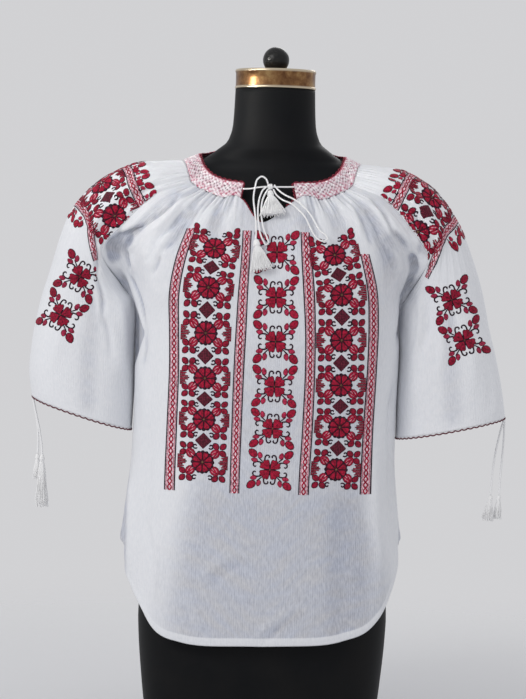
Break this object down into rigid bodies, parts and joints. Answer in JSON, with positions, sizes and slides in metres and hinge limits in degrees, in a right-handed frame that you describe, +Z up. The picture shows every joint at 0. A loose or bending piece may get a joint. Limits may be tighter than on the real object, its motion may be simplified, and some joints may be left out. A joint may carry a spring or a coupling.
{
  "type": "embroidered folk blouse on dress form",
  "caption": "White gathered folk blouse with raglan sleeves, smocked neckband, front lacing and sleeve ties, worn on a limbless dress form that stands on a flat base.",
  "frame": {"origin": "centre of the base plate's underside, where the dress form stands", "axes": "+Z up along the form's neck, -Y to the front of the blouse, +X to the viewer's right"},
  "size_m": [0.6197, 0.2588, 0.8912],
  "materials": {
    "cotton": "thin crinkled white cotton",
    "smocking": "smocked white cotton covered in pink and red thread",
    "white_cord": "twisted white cotton cord and thread",
    "form_black": "satin black shell",
    "brass": "aged, brushed",
    "knob_black": "black, semi-gloss",
    "base_black": "plain black"
  },
  "bodies": {
    "root": {"front_panel": "cotton", "back_panel": "cotton", "sleeve_left": "cotton", "sleeve_right": "cotton", "neckband": "smocking", "bow_knot": "white_cord", "lace_run_left": "white_cord", "lace_run_right": "white_cord", "lace_tail": "white_cord", "lace_loop_left": "white_cord", "lace_loop_right": "white_cord", "tassel_upper": "white_cord", "tassel_lower": "white_cord", "tie_left_short": "white_cord", "tie_left_long": "white_cord", "tie_right_short": "white_cord", "tie_right_long": "white_cord", "tassel_left_short": "white_cord", "tassel_left_long": "white_cord", "tassel_right_short": "white_cord", "tassel_right_long": "white_cord", "form_torso": "form_black", "neck_cap": "brass", "neck_knob": "knob_black", "base_plate": "base_black"}
  },
  "joints": []
}
